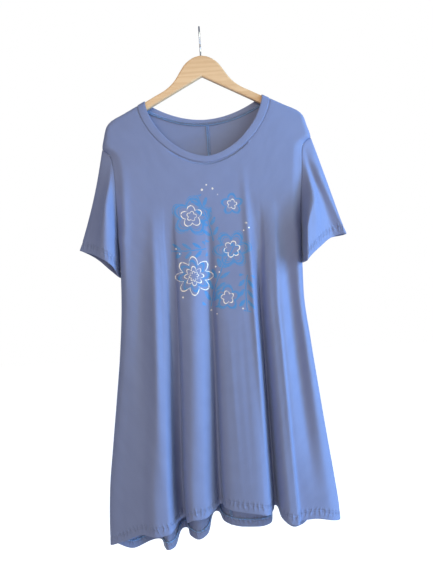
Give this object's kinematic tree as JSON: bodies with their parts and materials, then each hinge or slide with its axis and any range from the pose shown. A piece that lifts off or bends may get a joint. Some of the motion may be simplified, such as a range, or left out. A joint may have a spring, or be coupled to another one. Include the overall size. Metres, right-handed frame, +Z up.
{
  "type": "flared jersey dress on a wooden hanger",
  "caption": "Short-sleeved flared jersey dress with a wide scoop neck, deep skirt folds and a longer back hem, hung on a shaped wooden hanger with a wire hook.",
  "frame": {"origin": "where the inside of the top of the hook rests on its rod", "axes": "+Z up, the front of the dress faces -Y, +X to the wearer's left"},
  "size_m": [0.6069, 0.1534, 1.1996],
  "materials": {
    "jersey": "smooth viscose jersey, soft sheen",
    "overlock": "looped overlock thread",
    "beech": "clear satin lacquer",
    "steel": "bright plated wire"
  },
  "bodies": {
    "root": {"front": "jersey", "back_right": "jersey", "back_left": "jersey", "neckband": "jersey", "right_sleeve": "jersey", "left_sleeve": "jersey", "neck_allowance": "overlock", "centre_allowance": "overlock", "hanger": "beech", "hook": "steel"}
  },
  "joints": []
}
